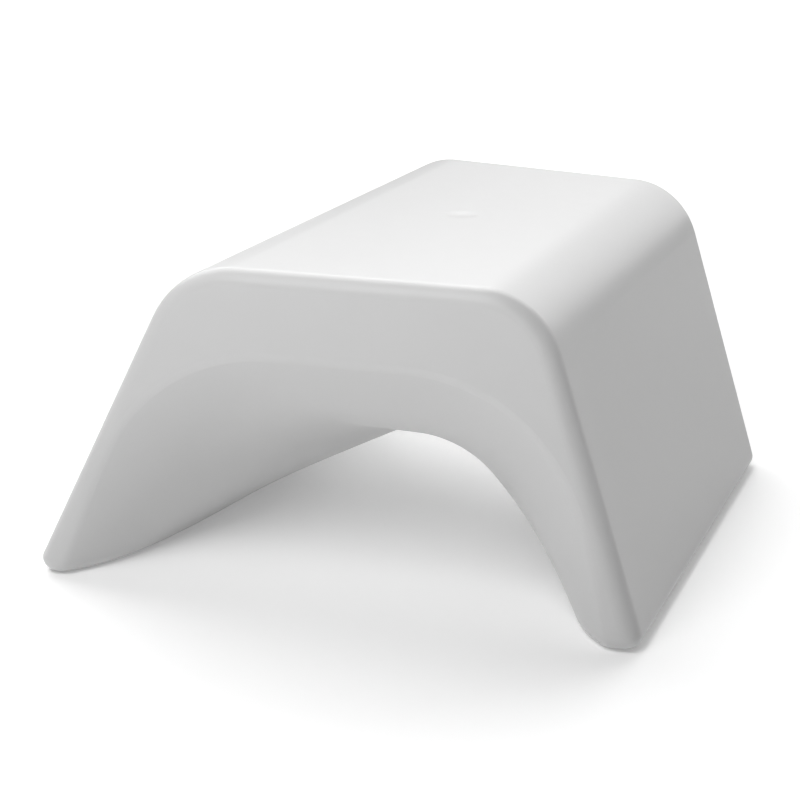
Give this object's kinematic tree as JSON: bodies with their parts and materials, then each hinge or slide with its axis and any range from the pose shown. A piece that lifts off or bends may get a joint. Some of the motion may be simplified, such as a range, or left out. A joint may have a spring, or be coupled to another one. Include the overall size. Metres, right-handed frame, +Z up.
{
  "type": "side stool",
  "caption": "Low white moulded side stool: a hollow shell with a flat seat, leaning ends, sloping sides that run down to the floor and a wide arched tunnel through it.",
  "frame": {"origin": "floor level, middle of the stool's footprint box", "axes": "+Z up; the tunnel runs along Y, with the front end at -Y; +X is to the right seen from the front, on the side with the shorter runner"},
  "size_m": [0.6808, 0.7904, 0.35],
  "materials": {
    "seat_plastic": "satin milky white polyethylene with a fine moulded grain",
    "glide_plastic": "matt light grey nylon",
    "screw_steel": "plain stainless steel",
    "insert_brass": "turned brass",
    "plug_plastic": "matt off-white polyethylene",
    "seal_rubber": "soft black rubber"
  },
  "bodies": {
    "root": {"seat_shell": "seat_plastic", "foot_glide_front_left": "glide_plastic", "foot_glide_front_right": "glide_plastic", "foot_glide_back_left": "glide_plastic", "foot_glide_back_right": "glide_plastic", "glide_screw_front_left": "screw_steel", "glide_screw_front_right": "screw_steel", "glide_screw_back_left": "screw_steel", "glide_screw_back_right": "screw_steel", "glide_insert_front_left": "insert_brass", "glide_insert_front_right": "insert_brass", "glide_insert_back_left": "insert_brass", "glide_insert_back_right": "insert_brass", "vent_plug": "plug_plastic", "vent_plug_seal": "seal_rubber"}
  },
  "joints": []
}
